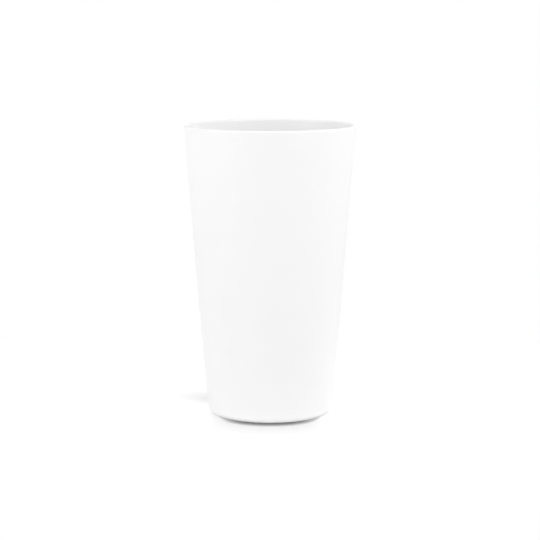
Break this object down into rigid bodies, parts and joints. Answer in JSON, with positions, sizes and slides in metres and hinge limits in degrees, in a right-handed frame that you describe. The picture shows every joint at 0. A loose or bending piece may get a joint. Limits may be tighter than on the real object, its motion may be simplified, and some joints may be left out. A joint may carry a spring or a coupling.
{
  "type": "reusable plastic cup",
  "caption": "Round drinking cup of moulded plastic with straight tapered sides, a rounded lip, a recessed foot and short stacking ribs inside its base.",
  "frame": {"origin": "centre of the foot, on the surface that the cup stands on", "axes": "+Z is the cup's axis, from the foot up to the mouth; one stacking rib lies along +X"},
  "size_m": [0.0858, 0.0858, 0.1455],
  "materials": {
    "cup_plastic": "white moulded plastic with a soft sheen"
  },
  "bodies": {
    "root": {"cup": "cup_plastic"}
  },
  "joints": []
}
